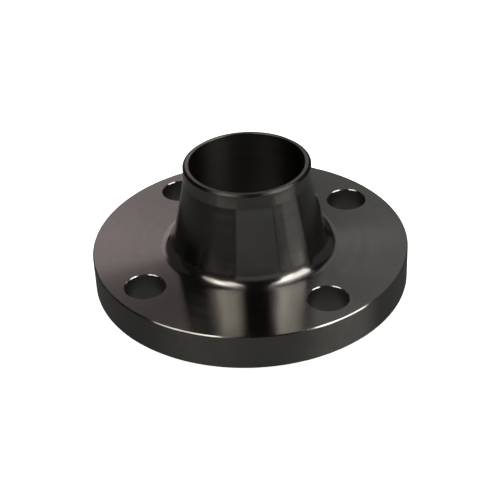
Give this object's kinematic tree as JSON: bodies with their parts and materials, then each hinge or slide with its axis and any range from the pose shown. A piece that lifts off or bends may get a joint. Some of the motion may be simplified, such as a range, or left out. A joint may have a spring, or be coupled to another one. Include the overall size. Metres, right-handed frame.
{
  "type": "weld neck pipe flange",
  "caption": "One-piece turned steel pipe flange: a drilled flat ring with a raised gasket face and a tapered neck that is butt-welded to a pipe.",
  "frame": {"origin": "centre of the raised gasket face, the plane the flange rests on", "axes": "+Z along the bore from the gasket face to the weld end; the bolt holes straddle +X and +Y"},
  "size_m": [0.1524, 0.1524, 0.0635],
  "materials": {
    "turned_steel": "dark fine-turned carbon steel, lightly oiled"
  },
  "bodies": {
    "root": {"flange_forging": "turned_steel"}
  },
  "joints": []
}
